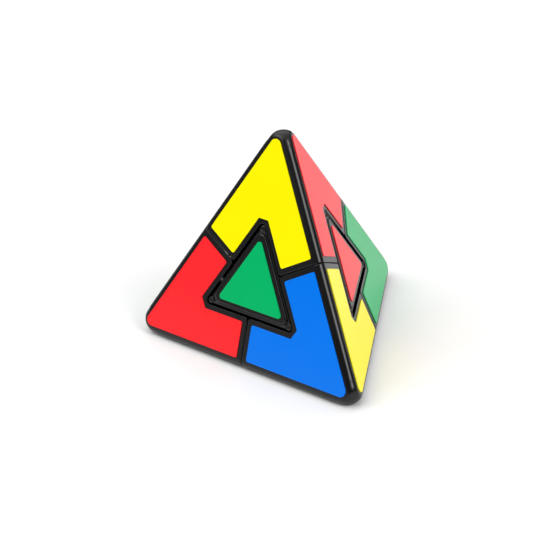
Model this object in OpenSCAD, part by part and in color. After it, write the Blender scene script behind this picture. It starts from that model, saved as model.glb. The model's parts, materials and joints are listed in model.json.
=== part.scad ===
// Pyramid twisty puzzle: four corner pieces and four face pieces that turn about the corner axes.
// Millimetres, +Z up. The puzzle stands on its bottom face, whose centre is the origin.

/* [Pyramid] */
// Length of a sharp edge of the pyramid
edge = 90; // [84:1:98]
// Radius of the rounded edges
edge_round = 1.8; // [1.5:0.1:2.6]
// Radius of the rounded points
point_round = 3; // [2.7:0.1:3.4]

/* [Cuts] */
// Distance from a face's centre to the straight sides of its recess
recess_in = 9.7; // [9.2:0.1:10]
// Radius of the face pieces' rounded tips
tip_round = 1.3; // [1.2:0.05:1.5]
// Clearance on each side of a turning cut
clearance = 0.12; // [0.1:0.01:0.2]

/* [Labels] */
// Thickness of the coloured labels
label_t = 0.25; // [0.15:0.05:0.4]
// Margin from a sharp edge to a label
edge_margin = 3.5; // [3.1:0.05:4]
// Margin from a middle cut to a label
cut_margin = 1.85; // [1.2:0.05:2.5]
// Margin from the recess to a label
recess_margin = 1.7; // [1.2:0.05:2.2]

/* [Face pieces] */
// Distance from a face's centre to the sides of its raised triangle
plateau_in = 8.2; // [7.8:0.1:8.4]
// Height of the raised triangle over the shoulder round it
plateau_h = 0.55; // [0.4:0.05:0.8]
// Radius of the round pips at the shoulder's corners
pip_r = 1.05; // [0.9:0.05:1.1]

/* [Mechanism] */
// Radius of the ball core
core_r = 13.1; // [12.5:0.1:13.1]
// Radius of the screws' shanks
shank_r = 1.25; // [1:0.05:1.3]
// Outer radius of the hubs' tubes
tube_r = 3.05; // [2.9:0.05:3.1]

/* [Hidden] */
in_r = edge / (2 * sqrt(6));        // centre of the pyramid to a face
out_r = 3 * in_r;                   // centre of the pyramid to a point
mid_r = edge / (2 * sqrt(2));       // centre of the pyramid to the middle of an edge
face_in = edge / (2 * sqrt(3));     // centre of a face to its edges
face_tilt = asin(1 / 3);            // slope of a face from a corner axis
corner_angle = 90 + face_tilt;      // angle between two corner axes
edge_tilt = asin(1 / sqrt(3));      // slope of an edge from a corner axis
plastic_r = in_r - label_t;         // centre of the pyramid to the bare plastic of a face
cut_r = plastic_r + 0.06;           // centre of the pyramid to the plane that the cuts are laid out in
foot_low = core_r + 0.2;            // the face pieces' feet ride on the core between these radii
foot_high = 16.3;
hub_high = 18.15;                   // a hub ends and its shell starts at this radius
neck_h = 1;                         // where the corners' zones end, along their axes, at the necks
foot_h = 2.6;                       // and at the feet
cap_low = in_r - 2.2;               // height of the joint between a face's cap and its foot
seat_z = 19.2;                      // floor of the spring's pocket in a hub
spring_top = 25.2;                  // top of the springs and bottom of the washers
head_low = 25.8;                    // underside of the screw heads
arc_steps = 6;                      // straight pieces of a rounded corner
far = 70;                           // further out than any part of the puzzle

// Corners in the order top, left, right, back, with the azimuth of the last three.
CORNERS = ["top", "left", "right", "back"];
AZIMUTHS = [0, 210, 330, 90];
// The faces opposite them.
FACES = ["bottom", "right", "left", "front"];

// Colours of the labels. Each row is the face opposite a corner, and its entries are the labels
// nearest to the top, left, right and back corner; the entry of the missing corner is the centre's.
YELLOW = [1, 0.9, 0];
RED = [0.9, 0.05, 0.06];
BLUE = [0, 0.25, 0.8];
GREEN = [0, 0.55, 0.28];
BLACK = [0.03, 0.03, 0.035];
STEEL = [0.7, 0.7, 0.72];
LABEL_COLOURS = [
    [BLUE, BLUE, GREEN, RED],
    [RED, RED, YELLOW, GREEN],
    [BLUE, GREEN, YELLOW, YELLOW],
    [YELLOW, RED, BLUE, GREEN]
];

// ---------- points and outlines ----------

// Height along a corner axis of a point of a face next to it, from how far up the face it lies,
// and the distance from the axis with that height.
function axis_h(v) = cut_r / 3 + cos(face_tilt) * v;
function axis_point(p) = [sqrt(cut_r * cut_r + p * p - pow(axis_h(p[1]), 2)), axis_h(p[1])];
function polar(r, angle) = [r * sin(angle), r * cos(angle)];
function direction(angle) = [cos(angle), sin(angle)];
function unit(p) = p / norm(p);

// Arc of radius r that replaces the corner b of the outline a, b, c.
function rounded(a, b, c, r) =
    let (
        p = unit(a - b),
        q = unit(c - b),
        half = acos(p * q) / 2,
        centre = b + unit(p + q) * r / sin(half),
        start = unit(b + p * r / tan(half) - centre),
        end = unit(b + q * r / tan(half) - centre)
    )
    [for (i = [0:arc_steps]) centre + r * unit(start * (arc_steps - i) + end * i)];

// Closed outline through the corners, each rounded to its own radius.
function rounded_outline(corners, radii) =
    let (n = len(corners))
    [for (i = [0:n - 1], p = rounded(corners[(i + n - 1) % n], corners[i], corners[(i + 1) % n], radii[i])) p];

// Triangle with its sides at a distance from the centre, and its corners at 90, 210 and 330 degrees.
function triangle(inside, r) =
    rounded_outline([for (i = [0:2]) 2 * inside * direction(90 + 120 * i)], [r, r, r]);

// ---------- placing ----------

// Moves a corner piece made round +Z to corner i. The turn swaps the top with that corner.
module at_corner(i) {
    half_turn = [sqrt(2) * cos(AZIMUTHS[i]), sqrt(2) * sin(AZIMUTHS[i]), 1];
    translate([0, 0, in_r])
        if (i == 0) children();
        else rotate(a = 180, v = half_turn) children();
}

// Moves a face piece made with +Z outwards to the face opposite corner i.
module at_face(i) {
    at_corner(i) rotate([180, 0, 0]) children();
}

// ---------- shared solids ----------

// Outside of what turns with the corner on +Z, grown by a gap. It is a solid of revolution whose
// side runs along the straight middle cuts and recess sides of the faces, and ends in a flat.
module turn_zone(gap) {
    s = recess_in + gap;
    cut = [for (q = [38, 20, s]) q * direction(30) - gap * direction(120)];
    side = [for (i = [1:3]) s * direction(30) - i / 3 * sqrt(3) * s * direction(120)];
    rotate([0, 0, 17])
        rotate_extrude($fn = 96)
            polygon(concat(
                [[0, far], [axis_point(cut[0])[0], far]],
                [for (p = concat(cut, side)) axis_point(p)],
                [[0, axis_h(-s)]]
            ));
}

// Everything further along the axis of a corner than a height, for the corner at a polar angle
// and azimuth from +Z.
module beyond(angle, az, height) {
    rotate([0, angle, az]) translate([-far, -far, height]) cube([2 * far, 2 * far, 2 * far]);
}

// Everything short of a height along the axis of a corner, placed as beyond() is.
module under(angle, az, height) {
    rotate([0, angle, az]) translate([-far, -far, height - 2 * far]) cube([2 * far, 2 * far, 2 * far]);
}

// Wedge between two faces, inset from them, with its edge rounded.
module edge_wedge(az, inset, r) {
    tip = mid_r - inset / sin(edge_tilt);
    middle = tip - r / sin(edge_tilt);
    reach = 2 * far;
    arc = [for (i = [-4:4]) [middle, 0] + r * direction(i / 4 * (90 - edge_tilt))];
    rotate([0, 0, az]) rotate([0, -edge_tilt, 0])
        linear_extrude(height = 2 * reach, center = true)
            polygon(concat(arc, [
                [tip - reach, reach * tan(edge_tilt)],
                [tip - reach, -reach * tan(edge_tilt)]
            ]));
}

// Dome that rounds the point on +Z.
module point_dome() {
    middle = out_r - 3 * label_t - 3 * point_round;
    arc = [for (i = [0:6]) [0, middle] + point_round * [sin(i * 50 / 6), cos(i * 50 / 6)]];
    skirt = arc[6] + 2 * far * [sin(40), -cos(40)];
    rotate_extrude($fn = 72)
        polygon(concat(arc, [skirt, [0, skirt[1]]]));
}

// The pyramid's outside at the corner on +Z.
module corner_block() {
    intersection() {
        edge_wedge(90, label_t, edge_round);
        edge_wedge(210, label_t, edge_round);
        edge_wedge(330, label_t, edge_round);
        point_dome();
    }
}

// Flat plate in a face's own plane, from depth_low up to the face.
module on_face(low, high) {
    translate([0, 0, low]) linear_extrude(height = high - low) children();
}

// ---------- corner pieces ----------

// A hollow shell, cut back where the other three corners turn past it.
module corner_shell(i) {
    color(BLACK) at_corner(i)
        past_corner(90) past_corner(210) past_corner(330) hollow_block();
}

module past_corner(az) {
    difference() {
        children();
        rotate([0, corner_angle, az]) turn_zone(clearance);
    }
}

module hollow_block() {
    wall = 2;
    floor_z = 26.4;
    difference() {
        intersection() {
            corner_block();
            translate([-far, -far, 8]) cube(2 * far);
        }
        sphere(r = hub_high + 0.05, $fn = 96);
        cylinder(r = tube_r + 0.05, h = floor_z + 1, $fn = 64);
        intersection() {
            edge_wedge(90, label_t + wall, 0.8);
            edge_wedge(210, label_t + wall, 0.8);
            edge_wedge(330, label_t + wall, 0.8);
            translate([-far, -far, floor_z]) cube(2 * far);
        }
    }
}

// A hub's flange holds down the tips of three feet. Its tube carries the spring.
module corner_hub(i) {
    tube_top = 29.5;
    color(BLACK) at_corner(i)
        difference() {
            union() {
                difference() {
                    intersection() {
                        sphere(r = hub_high, $fn = 96);
                        translate([0, 0, 5]) cylinder(r = 12, h = 20, $fn = 64);
                    }
                    sphere(r = foot_high + 0.15, $fn = 96);
                    for (az = [90, 210, 330])
                        beyond(corner_angle, az, -neck_h - clearance);
                }
                translate([0, 0, 17]) cylinder(r = tube_r, h = tube_top - 17, $fn = 64);
            }
            cylinder(r = shank_r + 0.05, h = far, $fn = 48);
            translate([0, 0, seat_z]) cylinder(r = 2.35, h = far, $fn = 48);
        }
}

module screw(i) {
    color(STEEL) at_corner(i)
        difference() {
            union() {
                translate([0, 0, 3]) cylinder(r = shank_r, h = head_low - 3, $fn = 48);
                translate([0, 0, head_low]) cylinder(r = 2.1, h = 1.4, $fn = 48);
            }
            translate([-0.3, -1.3, head_low + 0.6]) cube([0.6, 2.6, 2]);
            translate([-1.3, -0.3, head_low + 0.6]) cube([2.6, 0.6, 2]);
        }
}

// Compression spring: a round wire that climbs between its flat end turns.
module spring(i) {
    wire_r = 0.25;
    coil_r = 1.82;
    turns = 6;
    sides = 8;
    steps = 16 * turns;
    low = seat_z + 0.05 + wire_r;
    climb = spring_top - wire_r - 0.02 - low;
    ring = function (k)
        let (a = 360 * turns * k / steps)
        [for (j = [0:sides - 1])
            let (b = 360 * j / sides, r = coil_r + wire_r * cos(b))
            [r * cos(a), r * sin(a), low + climb * k / steps + wire_r * sin(b)]];
    points = [for (k = [0:steps], p = ring(k)) p];
    walls = [for (k = [0:steps - 1], j = [0:sides - 1])
        let (n = (j + 1) % sides, c = k * sides)
        [c + j, c + sides + j, c + sides + n, c + n]];
    start = [for (j = [0:sides - 1]) j];
    end = [for (j = [sides - 1:-1:0]) steps * sides + j];
    color(STEEL) at_corner(i) polyhedron(points, concat([start], walls, [end]));
}

module washer(i) {
    color(STEEL) at_corner(i)
        difference() {
            translate([0, 0, spring_top]) cylinder(r = 2.2, h = 0.55, $fn = 48);
            cylinder(r = shank_r + 0.08, h = far, $fn = 48);
        }
}

module core_ball() {
    color(BLACK)
        difference() {
            translate([0, 0, in_r]) sphere(r = core_r, $fn = 96);
            for (i = [0:3])
                at_corner(i) translate([0, 0, 2.5]) cylinder(r = shank_r + 0.03, h = 20, $fn = 48);
        }
}

// ---------- face pieces ----------

// A face's cap is the part that shows: a raised triangle on a shoulder with a pip at each corner.
module face_cap(i) {
    body_in = recess_in - clearance;
    shoulder_z = plastic_r - plateau_h;
    pip_at = 16.9;
    color(BLACK) at_face(i)
        difference() {
            union() {
                difference() {
                    on_face(cap_low + 0.7, shoulder_z) rotate(180) polygon(triangle(body_in, tip_round));
                    for (az = [30, 150, 270])
                        under(180 - corner_angle, az, axis_h(-body_in));
                }
                on_face(shoulder_z - 0.3, plastic_r) rotate(180) polygon(triangle(plateau_in, 1.4));
                for (az = [30, 150, 270])
                    rotate([0, 0, az]) translate([pip_at, 0, shoulder_z - 0.3])
                        cylinder(r = pip_r, h = 0.7, $fn = 32);
                translate([0, 0, cap_low]) cylinder(r = 6.6, h = 1, $fn = 64);
                translate([0, 0, 14.5]) cylinder(r = 2.5, h = cap_low - 14.4, $fn = 48);
            }
            for (az = [30, 150, 270])
                rotate([0, 0, az]) translate([pip_at, 0, plastic_r - 0.35])
                    cylinder(r = 0.4, h = 1, $fn = 24);
        }
}

// A face's foot rides on the core, and its three tips reach under the corners' hubs.
module face_foot(i) {
    color(BLACK) at_face(i)
        difference() {
            union() {
                difference() {
                    intersection() {
                        sphere(r = foot_high - 0.15, $fn = 96);
                        translate([0, 0, 5]) cylinder(r = 16, h = 20, $fn = 64);
                    }
                    for (az = [30, 150, 270])
                        under(180 - corner_angle, az, -foot_h + clearance);
                }
                translate([0, 0, 12]) cylinder(r = 5.9, h = cap_low - 12.02, $fn = 64);
            }
            sphere(r = foot_low, $fn = 96);
            translate([0, 0, 14.4]) cylinder(r = 2.55, h = 10, $fn = 48);
        }
}

// ---------- labels ----------

// Outline of the label on a corner piece, with the pyramid's point at 90 degrees.
function corner_label() =
    let (
        outer = face_in - edge_margin,
        inner = recess_in + recess_margin,
        end = cut_margin,
        flat = 19.75,
        half = (2 * inner - flat) * tan(30),
        right = [
            outer * direction(30) + end * direction(120),
            inner * direction(30) + end * direction(120),
            [half, flat]
        ],
        left = [for (k = [2:-1:0]) [-right[k][0], right[k][1]]]
    )
    rounded_outline(concat([[0, 2 * outer]], right, left), [1.8, 0.6, 0.6, 0.7, 0.7, 0.6, 0.6]);

// Label on the face opposite corner i: k is the corner it lies at, and k = i is the centre's.
module label(i, k) {
    ends = [for (j = [0:3]) if (j != i) j];
    color(LABEL_COLOURS[i][k]) at_face(i)
        on_face(plastic_r, in_r)
            if (k == i) rotate(180) polygon(triangle(6.98, 0.93));
            else rotate(label_turn(i, k)) polygon(corner_label());
}

// Angle of corner k in the face opposite corner i, from the outline's own 90 degrees.
function corner_way(i) = i == 0 ? [0, 0, 1]
    : [cos(AZIMUTHS[i]) * 2 * sqrt(2) / 3, sin(AZIMUTHS[i]) * 2 * sqrt(2) / 3, -1 / 3];
function half_turn_of(i, p) =
    let (m = [sqrt(2) * cos(AZIMUTHS[i]), sqrt(2) * sin(AZIMUTHS[i]), 1] / sqrt(3))
    i == 0 ? p : 2 * (m * p) * m - p;
function label_turn(i, k) =
    let (p = half_turn_of(i, corner_way(k)))
    atan2(-p[1], p[0]) - 90;

// ---------- the puzzle ----------

core_ball();
for (i = [0:3]) {
    corner_shell(i);
    corner_hub(i);
    screw(i);
    spring(i);
    washer(i);
}
for (i = [0:3]) {
    face_cap(i);
    face_foot(i);
    for (k = [0:3])
        let (place = k == i ? "centre" : CORNERS[k])
            label(i, k);
}
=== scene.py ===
"""Looks of the pyramid twisty puzzle: camera, studio, moulded skins, labels and materials."""
import json
import math

import bmesh
import bpy
import numpy as np
from mathutils import Matrix, Vector


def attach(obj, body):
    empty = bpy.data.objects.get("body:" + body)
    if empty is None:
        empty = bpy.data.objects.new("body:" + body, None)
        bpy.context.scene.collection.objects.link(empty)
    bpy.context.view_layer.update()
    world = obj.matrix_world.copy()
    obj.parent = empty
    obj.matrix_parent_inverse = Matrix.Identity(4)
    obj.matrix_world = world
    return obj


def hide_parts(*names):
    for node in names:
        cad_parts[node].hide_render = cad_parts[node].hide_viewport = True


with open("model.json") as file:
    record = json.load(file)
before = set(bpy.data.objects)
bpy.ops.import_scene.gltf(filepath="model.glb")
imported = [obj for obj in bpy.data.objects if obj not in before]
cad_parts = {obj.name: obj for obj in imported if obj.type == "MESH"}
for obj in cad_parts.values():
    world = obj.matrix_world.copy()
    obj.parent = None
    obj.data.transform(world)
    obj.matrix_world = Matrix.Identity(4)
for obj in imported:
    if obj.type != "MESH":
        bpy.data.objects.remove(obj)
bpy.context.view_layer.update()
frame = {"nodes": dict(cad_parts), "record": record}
collection = bpy.context.scene.collection

# ---------- sizes, in millimetres ----------

MM = 0.001
EDGE = 90
IN_R = EDGE / (2 * math.sqrt(6))  # centre of the pyramid to a face
FACE_IN = EDGE / (2 * math.sqrt(3))  # centre of a face to its edges
LABEL_T = 0.25
PLASTIC_R = IN_R - LABEL_T  # centre of the pyramid to the bare plastic of a face
TILT = math.asin(1 / 3)  # slope of a face from a corner axis

EDGE_ROUND = 1.9
BALL_R = 5.1  # the ball at a point
BALL_AT = 43.1  # its centre, from the centre of the pyramid
BALL_EDGE = math.acos(1 / math.sqrt(3))  # where the edges run into it, from the corner's axis
BALL_SOFT = 0.5  # how far from the ball its blend into the faces starts
BALL_FADE = math.radians(25)  # how far past the edges' angle that blend fades out
BALL_END = math.radians(85)  # no point of a face is pulled in past this angle
TIP_LENGTH = 13  # how far from the sharp tip the finely divided part of a face reaches
RECESS = 9.82  # centre of a face to the sides of its recess
TIP_ROUND = 1.4  # the recess's rounded tips
CUT_GAP = 0.08  # half the width of a middle cut
CUT_ROUND = 0.9  # corners where a cut meets a recess
RIM = 0.3  # how far a rim's rounding reaches
RIM_STRIP = 0.08  # the strip of flat face next to a rim
EDGE_STRIP = 3.6  # how far from the sharp edge a cut is finely divided
SOCKET_R = 18.2  # the hollow over the hub
BORE_R = 3.15  # the hole that the hub's tube goes into
BORE_TOP = 31.0
LABEL_BEVEL = 0.07
WALL_STEPS = 16
SHARP_ANGLE = math.radians(40)  # edges bent further than this stay crisp

CORNERS = ("top", "left", "right", "back")
AZIMUTHS = (0, 210, 330, 90)
FACES = ("bottom", "right", "left", "front")
CORNER_BODY = {"top": "top_corner", "left": "left_corner", "right": "right_corner", "back": "core"}

# ---------- camera ----------

CAMERA_AT = Vector((3.1068, -3.6730, 2.8161)) * EDGE * MM
CAMERA_AIM = Vector((-0.1303, 0.0294, 0.2034)) * EDGE * MM
CAMERA_RIGHT = Vector((0.76781, 0.63776, -0.06147))
CAMERA_LENS = 112.13
CAMERA_SENSOR = 36


def make_camera():
    """The camera, placed and rolled to see the puzzle as it stands in the room."""
    forward = (CAMERA_AIM - CAMERA_AT).normalized()
    right = (CAMERA_RIGHT - forward * CAMERA_RIGHT.dot(forward)).normalized()
    up = right.cross(forward)
    data = bpy.data.cameras.new("camera")
    data.lens = CAMERA_LENS
    data.sensor_width = CAMERA_SENSOR
    camera = bpy.data.objects.new("camera", data)
    turn = Matrix((right, up, -forward)).transposed().to_4x4()
    camera.matrix_world = Matrix.Translation(CAMERA_AT) @ turn
    collection.objects.link(camera)
    bpy.context.scene.camera = camera


# ---------- placing ----------


def at_corner(i):
    """Moves what is made round +Z, with the pyramid's centre at the origin, to corner i."""
    lift = Matrix.Translation((0, 0, IN_R))
    if i == 0:
        return lift
    a = math.radians(AZIMUTHS[i])
    half_turn = Vector((math.sqrt(2) * math.cos(a), math.sqrt(2) * math.sin(a), 1))
    return lift @ Matrix.Rotation(math.pi, 4, half_turn)


def at_face(i):
    """Moves what is made with +Z outwards to the face opposite corner i."""
    return at_corner(i) @ Matrix.Rotation(math.pi, 4, "X")


def direction(degrees, size=2):
    """Unit vector at an angle in the XY plane, with two or three coordinates."""
    a = math.radians(degrees)
    return np.array([math.cos(a), math.sin(a), 0][:size])


def unit(v):
    return v / np.linalg.norm(v)


def arc(a, b, c, r, steps):
    """Points of the arc of radius r that replaces the corner b of the outline a, b, c."""
    p, q = unit(a - b), unit(c - b)
    half = math.acos(p @ q) / 2
    centre = b + unit(p + q) * r / math.sin(half)
    start = unit(b + p * r / math.tan(half) - centre)
    end = unit(b + q * r / math.tan(half) - centre)
    sweep = math.acos(start @ end)
    turns = sweep * np.linspace(0, 1, steps + 1)
    ways = [math.sin(sweep - a) * start + math.sin(a) * end for a in turns]
    return [centre + r * unit(w) for w in ways]


# ---------- a corner piece ----------

# One face next to the corner on +Z: its outward normal, and its own axes, v towards the corner.
NORMAL = np.array([0, -math.cos(TILT), math.sin(TILT)])
AXIS_U = np.array([1.0, 0, 0])
AXIS_V = np.array([0, math.sin(TILT), math.cos(TILT)])
FACE_NORMALS = [
    math.cos(TILT) * direction(a, 3) + np.array([0, 0, math.sin(TILT)]) for a in (270, 30, 150)
]
FACE_EDGE = FACE_IN * PLASTIC_R / IN_R  # centre of a plastic face to its sharp edge
# The axis of the corner to the right of that face, whose turning shapes this half of the piece,
# and two axes across it.
RIGHT_POLAR, RIGHT_AROUND = math.radians(90 + math.degrees(TILT)), math.radians(330)
RIGHT_AXIS = math.sin(RIGHT_POLAR) * direction(330, 3) + np.array([0, 0, math.cos(RIGHT_POLAR)])
TURN_X = unit(np.array([0, 0, 1]) - RIGHT_AXIS[2] * RIGHT_AXIS)
TURN_Y = np.cross(RIGHT_AXIS, TURN_X)
# Normal of the plane through the centre and the edge on the right of that face.
ACROSS = RIGHT_AROUND + math.pi / 2
EDGE_PLANE = np.array([math.cos(ACROSS), math.sin(ACROSS), 0])


def on_face(p):
    """Point of the sharp plastic face from the face's own (u, v)."""
    return PLASTIC_R * NORMAL + p[0] * AXIS_U + p[1] * AXIS_V


def nearest_inset(p, r):
    """Nearest point to p of the corner's three planes moved in by r."""
    room = PLASTIC_R - r
    out = [n for n in FACE_NORMALS if n @ p > room]
    if not out:
        return p
    tip = np.array([0, 0, 3 * room])
    for n in out:
        q = p - n * (n @ p - room)
        if all(m @ q <= room + 1e-9 for m in FACE_NORMALS):
            return q
    best = None
    for k in range(3):
        along = unit(np.cross(FACE_NORMALS[k], FACE_NORMALS[(k + 1) % 3]))
        q = tip + along * ((p - tip) @ along)
        if all(m @ q <= room + 1e-6 for m in FACE_NORMALS):
            if best is None or np.linalg.norm(p - q) < np.linalg.norm(p - best):
                best = q
    return tip if best is None else best


def dome(p):
    """Pulls a point near the corner's tip in to a ball that the rounded edges run into."""
    d = p - np.array([0, 0, BALL_AT])
    far = np.linalg.norm(d)
    angle = math.acos(d[2] / far)
    limit = BALL_R / math.cos(max(angle - BALL_EDGE, 0))
    t = np.clip((angle - BALL_EDGE) / BALL_FADE, 0, 1)
    soft = BALL_SOFT * (1 - t * t * (3 - 2 * t))
    if far < limit - soft or angle > BALL_END:
        return p
    mix = np.clip(0.5 + 0.5 * (far - limit) / max(soft, 1e-6), 0, 1)
    near = far + (limit - far) * mix - soft * mix * (1 - mix)
    return p + d * (near / far - 1)


def round_off(p):
    """The rounded surface over a point of the sharp one, and its outward normal."""
    q = nearest_inset(p, EDGE_ROUND)
    n = unit(p - q)
    return dome(q + EDGE_ROUND * n), n


def outline():
    """Half the outline of a corner piece on a face, from its recess's tip to the sharp edge."""
    side = direction(120)
    meet = RECESS * direction(30)
    end = np.array([0, 2 * RECESS])
    tip = arc(meet, end, np.array([-meet[0], meet[1]]), TIP_ROUND, 16)[8::-1]
    cut_far = FACE_EDGE * direction(30) + CUT_GAP * side
    nose = arc(end, meet + CUT_GAP * side, cut_far, CUT_ROUND, 6)
    straight = [tip[-1] + (nose[0] - tip[-1]) * t for t in np.linspace(0, 1, 9)[1:-1]]
    start, roll = nose[-1] @ direction(30), FACE_EDGE - EDGE_STRIP
    reach = list(np.linspace(start, roll, 7)[1:]) + list(np.linspace(roll, FACE_EDGE, 12)[1:])
    cut = [q * direction(30) + CUT_GAP * side for q in reach]
    return tip + straight + nose + cut


def round_turn(p):
    """A point's height along the right corner's axis, its distance from it, and its angle round
    it from the plane through the edge."""
    h = p @ RIGHT_AXIS
    q = p - h * RIGHT_AXIS
    return h, np.linalg.norm(q), math.atan2(q @ TURN_Y, q @ TURN_X)


def turned(h, rho, angle):
    """The point at a height, distance and angle round the right corner's axis."""
    return h * RIGHT_AXIS + rho * (math.cos(angle) * TURN_X + math.sin(angle) * TURN_Y)


def mirror_angle(h, rho, near):
    """The angle round the right corner's axis where a circle meets the plane x = 0."""
    reach = math.hypot(TURN_X[0], TURN_Y[0]) * rho
    middle = math.atan2(TURN_Y[0], TURN_X[0])
    swing = math.acos(np.clip(-h * RIGHT_AXIS[0] / reach, -1, 1))
    return min((middle + swing, middle - swing), key=lambda a: abs(a - near))


def inwards(flat):
    """Unit vectors square to the outline at each of its points, into the corner piece."""
    last = len(flat) - 1
    ways = []
    for k, p in enumerate(flat):
        if k == last:
            along = direction(30)
        elif k == last - 1:
            along = unit(flat[last] - p)
        else:
            before = flat[k - 1] if k else np.array([-flat[1][0], flat[1][1]])
            along = unit(flat[k + 1] - before)
        ways.append(np.array([-along[1], along[0]]))
    return ways


def wall_slopes(corners, outward, tracks):
    """The way down the wall at each point of the outline. A wall is swept round the right
    corner's axis, so it holds the circle through the point and the outline's own profile."""
    last = len(corners) - 1
    slopes = []
    for k, here in enumerate(corners):
        h, rho, angle = tracks[k]
        circle = unit(turned(h, rho, angle + 0.01) - here)
        a, b = tracks[max(k - 1, 0)], tracks[min(k + 1, last)]
        profile = turned(b[0], b[1], angle) - turned(a[0], a[1], angle)
        wall = unit(np.cross(circle, profile))
        if k == 0:
            along = AXIS_U
        elif k == last:
            along = EDGE_PLANE
        else:
            along = unit(corners[k + 1] - corners[k - 1])
        down = unit(np.cross(wall, along))
        slopes.append(-down if down @ outward[k] > 0 else down)
    return slopes


def face_row(inner):
    """Points of the rounded face from the corner's tip to a point next to the rim."""
    tip = np.array([0, 2 * FACE_EDGE])
    length = np.linalg.norm(inner - tip)
    ray = (inner - tip) / length
    spots = list(np.linspace(0, TIP_LENGTH, 34)) + list(np.linspace(TIP_LENGTH, length, 9)[1:])
    return [round_off(on_face(tip + ray * s))[0] for s in spots]


def outer_rows(flat):
    """A row for each point of the outline: over the face from the corner's tip, round the rim and
    along the wall to the edge. Also where the first wall starts, round the right corner's axis."""
    last = len(flat) - 1
    ways = inwards(flat)
    corners, outward = zip(*[round_off(on_face(p)) for p in flat])
    slopes = wall_slopes(corners, outward, [round_turn(p) for p in corners])
    rows, first_track = [], None
    for k, p in enumerate(flat):
        row = face_row(p + (RIM + RIM_STRIP) * ways[k])
        start = round_off(on_face(p + RIM * ways[k]))[0]
        end = corners[k] + RIM * slopes[k]
        for t in np.linspace(0, 1, 7):
            row.append((1 - t) ** 2 * start + 2 * t * (1 - t) * corners[k] + t * t * end)
        h, rho, angle = round_turn(end)
        if k == last:
            angle = 0.0
        row += [turned(h, rho, angle * (1 - j / WALL_STEPS)) for j in range(1, WALL_STEPS + 1)]
        rows.append(row)
        first_track = first_track or (h, rho, angle)
    return rows, first_track


def under_rows(flat, first_track):
    """Rows of the underside. Past the recess's tip the right corner's zone ends in the same arc
    and a flat, then come the socket over the hub and the bore."""
    tip_arc = [round_turn(on_face(np.array([-p[0], p[1]]))) for p in flat[1:9]]
    track = [first_track] + [t for t in tip_arc if t[0] < first_track[0] - 0.03]
    low = track[-1][0]
    socket = math.sqrt(SOCKET_R**2 - low**2)
    track += [(low, r, track[-1][2]) for r in np.linspace(track[-1][1], socket, 6)[1:]]
    rows, near = [], first_track[2]
    for h, rho, _ in track:
        near = mirror_angle(h, rho, near)
        rows.append([turned(h, rho, near * (1 - j / WALL_STEPS)) for j in range(WALL_STEPS + 1)])
    rim = rows[-1]
    bore_polar = math.asin(BORE_R / SOCKET_R)
    for t in np.linspace(0, 1, 7)[1:]:
        row = []
        for p in rim:
            polar, around = math.acos(p[2] / np.linalg.norm(p)), math.atan2(p[1], p[0])
            q = polar + (bore_polar - polar) * t
            x, y = math.sin(q) * math.cos(around), math.sin(q) * math.sin(around)
            row.append(SOCKET_R * np.array([x, y, math.cos(q)]))
        rows.append(row)
    rows.append([np.array([p[0], p[1], BORE_TOP]) for p in rows[-1]])
    rows.append([np.array([0, 0, BORE_TOP])] * (WALL_STEPS + 1))
    return rows


def half_sector():
    """A sixth of a corner piece, between the middle of a face and the edge next to it. Returns
    points and faces."""
    flat = outline()
    outer, first_track = outer_rows(flat)
    points, faces = [], []
    for rows in (outer, under_rows(flat, first_track)):
        start, width = len(points), len(rows[0])
        points += [p for row in rows for p in row]
        for i in range(len(rows) - 1):
            for a in range(start + i * width, start + (i + 1) * width - 1):
                faces.append((a, a + 1, a + width + 1, a + width))
    return points, faces


def mesh_of(name, points, faces):
    """A smooth-shaded mesh in metres, with doubled points merged and faces turned outwards."""
    mesh = bpy.data.meshes.new(name)
    mesh.from_pydata([tuple(p * MM) for p in points], [], faces)
    bm = bmesh.new()
    bm.from_mesh(mesh)
    bmesh.ops.remove_doubles(bm, verts=bm.verts[:], dist=4e-6)
    bmesh.ops.dissolve_degenerate(bm, dist=2e-6, edges=bm.edges[:])
    bmesh.ops.recalc_face_normals(bm, faces=bm.faces[:])
    for face in bm.faces:
        face.smooth = True
    for edge in bm.edges:
        edge.smooth = len(edge.link_faces) < 2 or edge.calc_face_angle() < SHARP_ANGLE
    bm.to_mesh(mesh)
    bm.free()
    return mesh


def corner_mesh():
    """A corner piece on +Z, from six turned and mirrored sectors."""
    points, faces = half_sector()
    edge = Vector(EDGE_PLANE)
    mirror = np.eye(3) - 2 * np.outer(edge, edge)
    all_points, all_faces = [], []
    for turn in (0, 120, 240):
        spin = np.array(Matrix.Rotation(math.radians(turn), 3, "Z"))
        for flip in (np.eye(3), mirror):
            start = len(all_points)
            all_points += [spin @ flip @ p for p in points]
            all_faces += [tuple(start + i for i in f) for f in faces]
    return mesh_of("corner_skin", all_points, all_faces)


# ---------- a face piece ----------

TIP_ANGLES = (30, 150, 270)
PIP_AT = 16.88  # centre of a face to the middle of a pip

# Section of a face cap, from its underside to the middle of its top: distance of the sides from
# the centre, radius of the tips, height over the bare plastic of the corner pieces.
CAP_SECTION = (
    (9.36, 1.3, -1.2),
    (9.38, 1.3, -1.08),
    (9.36, 1.2, -0.95),
    (9.3, 1.0, -0.75),
    (9.28, 0.88, -0.58),
    (9.22, 0.82, -0.5),
    (9.12, 0.74, -0.46),
    (8.72, 0.75, -0.42),
    (8.62, 1.0, -0.45),
    (8.53, 1.35, -0.56),
    (8.47, 1.5, -0.56),
    (8.43, 1.5, -0.44),
    (8.4, 1.5, -0.2),
    (8.33, 1.5, -0.08),
    (8.18, 1.45, -0.015),
    (8.04, 1.4, 0),
    (7.9, 1.35, 0),
    (4, 0.7, 0),
)
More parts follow.
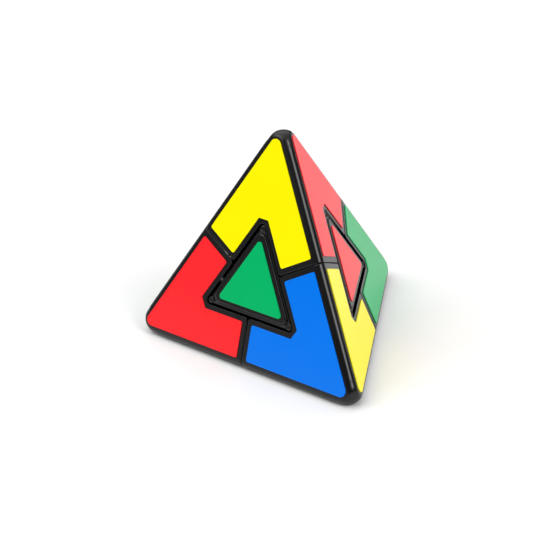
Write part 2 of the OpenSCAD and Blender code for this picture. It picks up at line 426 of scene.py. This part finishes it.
# Sections of a pip and of the boss under the cap: radius, height.
PIP_SECTION = (
    (0.8, -1.1),
    (0.97, -0.8),
    (1.05, -0.55),
    (1.05, -0.45),
    (1.02, -0.32),
    (0.95, -0.22),
    (0.84, -0.16),
    (0.72, -0.15),
    (0.6, -0.2),
    (0.5, -0.3),
    (0.42, -0.5),
    (0.2, -0.56),
)
BOSS_SECTION = ((2.45, -3.5), (2.45, -1.75), (5.6, -1.75), (5.6, -1.1))


def triangle(inside, r):
    """Rounded triangle, its sides at a distance from the centre."""
    tips = [2 * inside * direction(a) for a in TIP_ANGLES]
    arcs = [arc(tips[k - 1], tips[k], tips[(k + 1) % 3], r, 8) for k in range(3)]
    loop = []
    for k in range(3):
        loop += arcs[k]
        a, b = arcs[k][-1], arcs[(k + 1) % 3][0]
        loop += [a + (b - a) * t for t in np.linspace(0, 1, 7)[1:-1]]
    return loop


def lofted(rings):
    """Points and faces of a closed skin through rings of equally many points."""
    n = len(rings[0])
    points = [p for ring in rings for p in ring]
    faces = []
    for k in range(len(rings) - 1):
        for j in range(n):
            a, b = k * n + j, k * n + (j + 1) % n
            faces.append((a, b, b + n, a + n))
    for k in (0, len(rings) - 1):
        points.append(sum(rings[k]) / n)
        faces += [(k * n + j, k * n + (j + 1) % n, len(points) - 1) for j in range(n)]
    return points, faces


def lathed(section, sides, at=(0, 0, 0)):
    """A round part from its section, standing on the face at a place."""
    angles = np.linspace(0, 2 * math.pi, sides + 1)[:-1]
    rings = []
    for r, z in section:
        rings.append([at + np.array([r * math.cos(t), r * math.sin(t), PLASTIC_R + z]) for t in angles])
    return lofted(rings)


def face_mesh():
    """A face cap facing +Z: the raised triangle, three pips and the boss underneath."""
    rings = []
    for inside, r, z in CAP_SECTION:
        rings.append([np.array([*p, PLASTIC_R + z]) for p in triangle(inside, r)])
    parts = [lofted(rings)]
    parts += [lathed(PIP_SECTION, 32, PIP_AT * direction(a, 3)) for a in TIP_ANGLES]
    parts.append(lathed(BOSS_SECTION, 48))
    points, faces = [], []
    for part_points, part_faces in parts:
        faces += [tuple(len(points) + i for i in face) for face in part_faces]
        points += part_points
    return mesh_of("face_skin", points, faces)


# ---------- materials ----------

LABEL_COLOURS = {
    "yellow": (1.0, 0.88, 0.0),
    "red": (1.0, 0.022, 0.028),
    "blue": (0.0, 0.18, 0.83),
    "green": (0.0, 0.45, 0.13),
}
PATCH_SCALE = 60  # waves per metre of the patches in colour
SMUDGE_SCALE = 140  # and of the smudges in roughness
RELIEF_DEPTH = 0.05 * MM


def material(name, colour, roughness, wear, bump, grain, gloss=0.35):
    """Plastic, steel or floor: a principled shader whose colour, roughness and relief vary."""
    mat = bpy.data.materials.new(name)
    mat.use_nodes = True
    nodes, links = mat.node_tree.nodes, mat.node_tree.links
    shader = nodes["Principled BSDF"]
    shader.inputs["Roughness"].default_value = roughness
    shader.inputs["Specular IOR Level"].default_value = gloss
    where = nodes.new("ShaderNodeTexCoord")

    def noise(scale, detail):
        tex = nodes.new("ShaderNodeTexNoise")
        tex.inputs["Scale"].default_value = scale
        tex.inputs["Detail"].default_value = detail
        links.new(where.outputs["Object"], tex.inputs["Vector"])
        return tex

    patches = noise(PATCH_SCALE, 4)
    ramp = nodes.new("ShaderNodeValToRGB")
    ramp.color_ramp.elements[0].position = 0.3
    ramp.color_ramp.elements[1].position = 0.7
    ramp.color_ramp.elements[0].color = (*[c * (1 - wear) for c in colour], 1)
    ramp.color_ramp.elements[1].color = (*[min(c * (1 + wear), 1) for c in colour], 1)
    links.new(patches.outputs["Fac"], ramp.inputs["Fac"])
    links.new(ramp.outputs["Color"], shader.inputs["Base Color"])

    smudge = nodes.new("ShaderNodeMapRange")
    smudge.inputs["To Min"].default_value = roughness * 0.8
    smudge.inputs["To Max"].default_value = roughness * 1.25
    links.new(noise(SMUDGE_SCALE, 6).outputs["Fac"], smudge.inputs["Value"])
    links.new(smudge.outputs["Result"], shader.inputs["Roughness"])

    relief = nodes.new("ShaderNodeBump")
    relief.inputs["Strength"].default_value = bump
    relief.inputs["Distance"].default_value = RELIEF_DEPTH
    links.new(noise(grain, 3).outputs["Fac"], relief.inputs["Height"])
    links.new(relief.outputs["Normal"], shader.inputs["Normal"])
    return mat, shader


def make_materials():
    """The materials of the CAD's slots."""
    black, _ = material("moulded_black", (0.0045, 0.0045, 0.005), 0.22, 0.2, 0.05, 1500)
    inner, _ = material("inner_black", (0.008, 0.008, 0.009), 0.42, 0.2, 0.1, 1200)
    steel, shader = material("zinc_steel", (0.62, 0.62, 0.64), 0.28, 0.08, 0.05, 2500)
    shader.inputs["Metallic"].default_value = 1
    slots = {"black_plastic": black, "inner_plastic": inner, "bright_steel": steel}
    for name, colour in LABEL_COLOURS.items():
        slots[f"{name}_label"] = material(f"label_{name}", colour, 0.16, 0.012, 0.015, 500, 0.18)[0]
    return slots


# ---------- the puzzle ----------


def dress_nodes(slots):
    """Gives every CAD node its slot's material, and the labels soft edges."""
    given = {s["node"]: s["material_slot"] for s in frame["record"]["subparts"]}
    for name, node in frame["nodes"].items():
        node.data.materials.clear()
        node.data.materials.append(slots[given[name]])
        if name.startswith("label_"):
            bevel = node.modifiers.new("edge", "BEVEL")
            bevel.width = LABEL_BEVEL * MM
            bevel.segments = 2
            bevel.limit_method = "ANGLE"
            bevel.angle_limit = math.radians(50)


def add_skins(slots):
    """Replaces the shells and caps of the CAD with their rounded skins."""
    corner, face = corner_mesh(), face_mesh()
    for mesh in (corner, face):
        mesh.materials.append(slots["black_plastic"])
    metres = Matrix.Diagonal((MM, MM, MM, 1))
    for i in range(4):
        for shape, placed, node, body in (
            (corner, at_corner(i), f"corner_shell_{CORNERS[i]}", CORNER_BODY[CORNERS[i]]),
            (face, at_face(i), f"face_cap_{FACES[i]}", f"{FACES[i]}_piece"),
        ):
            mesh = shape.copy()
            mesh.transform(metres @ placed @ metres.inverted())
            skin = bpy.data.objects.new(node + "_skin", mesh)
            collection.objects.link(skin)
            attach(skin, body)
            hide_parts(node)


# ---------- studio ----------

HORIZON = 0.12  # brightness of the room at eye level
OVERHEAD = 1.5
LAMP = 7
FILL = 1.8
# Where a lamp or a shaded part of the room lies, and the cosines of the angles from there where
# it starts and where it is full.
LAMP_PLACE = ((0.79, -0.03, 0.61), 0.95, 0.985)
FILL_PLACE = ((-0.4, -0.55, 0.73), 0.85, 0.95)
CAMERA_SHADE = ((0.3, -0.8, 0.5), 0.7, 0.93)
RIGHT_SHADE = ((0.75, 0.55, 0.35), 0.2, 0.9)
FLOOR_HALF = 3  # metres
FLOOR_DROP = 0.1 * MM  # keeps the floor clear of the face that the puzzle rests on


def make_floor():
    """A plain pale floor."""
    mesh = bpy.data.meshes.new("floor")
    bm = bmesh.new()
    bmesh.ops.create_grid(bm, x_segments=1, y_segments=1, size=FLOOR_HALF)
    bm.to_mesh(mesh)
    bm.free()
    floor = bpy.data.objects.new("floor", mesh)
    floor.location.z = -FLOOR_DROP
    collection.objects.link(floor)
    mat, _ = material("floor_white", (0.8, 0.8, 0.8), 0.6, 0.01, 0.0, 50)
    mesh.materials.append(mat)


def light_room():
    """A white studio: dim near the horizon, bright overhead, dark round the photographer and
    shaded on the right, with a small strong lamp and a soft fill."""
    world = bpy.data.worlds.new("studio")
    bpy.context.scene.world = world
    world.use_nodes = True
    nodes, links = world.node_tree.nodes, world.node_tree.links
    where = nodes.new("ShaderNodeTexCoord")
    split = nodes.new("ShaderNodeSeparateXYZ")
    links.new(where.outputs["Generated"], split.inputs["Vector"])
    height = nodes.new("ShaderNodeMapRange")
    height.interpolation_type = "SMOOTHSTEP"
    height.inputs["From Min"].default_value = 0.25
    height.inputs["From Max"].default_value = 0.6
    height.inputs["To Min"].default_value = HORIZON
    height.inputs["To Max"].default_value = OVERHEAD
    links.new(split.outputs["Z"], height.inputs["Value"])

    def lobe(place, low, high):
        """A value that goes from low to high towards a place."""
        way, start, full = place
        facing = nodes.new("ShaderNodeVectorMath")
        facing.operation = "DOT_PRODUCT"
        facing.inputs[1].default_value = Vector(way).normalized()
        links.new(where.outputs["Generated"], facing.inputs[0])
        fade = nodes.new("ShaderNodeMapRange")
        fade.interpolation_type = "SMOOTHSTEP"
        values = {"From Min": start, "From Max": full, "To Min": low, "To Max": high}
        for name, value in values.items():
            fade.inputs[name].default_value = value
        links.new(facing.outputs["Value"], fade.inputs["Value"])
        return fade.outputs["Result"]

    def combine(operation, a, b):
        node = nodes.new("ShaderNodeMath")
        node.operation = operation
        links.new(a, node.inputs[0])
        links.new(b, node.inputs[1])
        return node.outputs["Value"]

    room = combine("MULTIPLY", height.outputs["Result"], lobe(CAMERA_SHADE, 1, 0.1))
    room = combine("MULTIPLY", room, lobe(RIGHT_SHADE, 1, 0.5))
    lamps = combine("ADD", lobe(LAMP_PLACE, 0, LAMP), lobe(FILL_PLACE, 0, FILL))
    links.new(combine("ADD", room, lamps), nodes["Background"].inputs["Strength"])
    nodes["Background"].inputs["Color"].default_value = (1, 1, 1, 1)


def main():
    make_camera()
    make_floor()
    light_room()
    slots = make_materials()
    dress_nodes(slots)
    add_skins(slots)
    bpy.context.scene.view_settings.view_transform = "Standard"


main()
